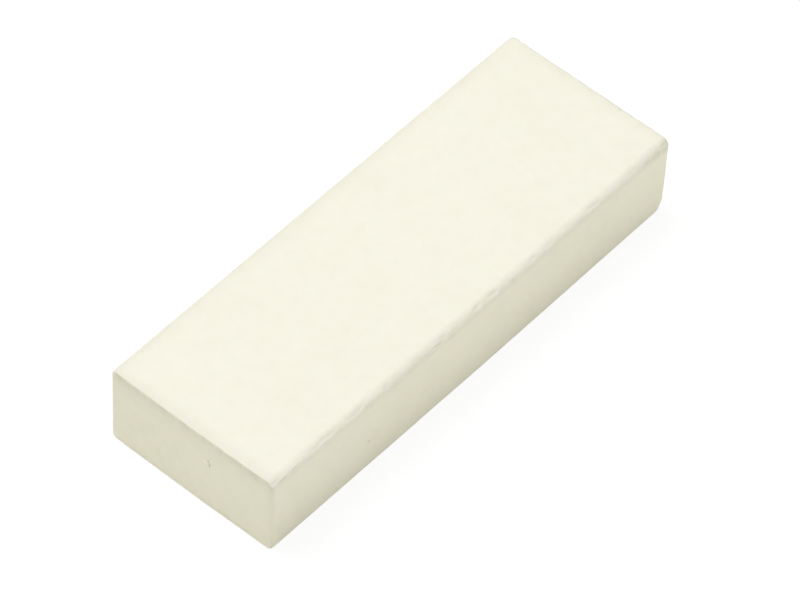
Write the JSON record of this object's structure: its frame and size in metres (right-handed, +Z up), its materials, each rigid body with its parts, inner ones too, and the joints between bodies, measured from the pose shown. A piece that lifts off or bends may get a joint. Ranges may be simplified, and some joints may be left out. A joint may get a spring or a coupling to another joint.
{
  "type": "vinyl eraser",
  "caption": "Plain rectangular block eraser of off-white vinyl with rounded long edges and knife-cut ends, for rubbing out pencil marks.",
  "frame": {"origin": "centre of the block's footprint, on the surface that the block lies on", "axes": "+X along the length from the near, crisply cut end towards the far, softened end; +Y towards the straight back side; +Z up through the thickness"},
  "size_m": [0.062, 0.022, 0.0107],
  "materials": {
    "vinyl": "satin-matt off-white vinyl, faintly waxy, with a slightly wavy skin"
  },
  "bodies": {
    "root": {"eraser_block": "vinyl"}
  },
  "joints": []
}
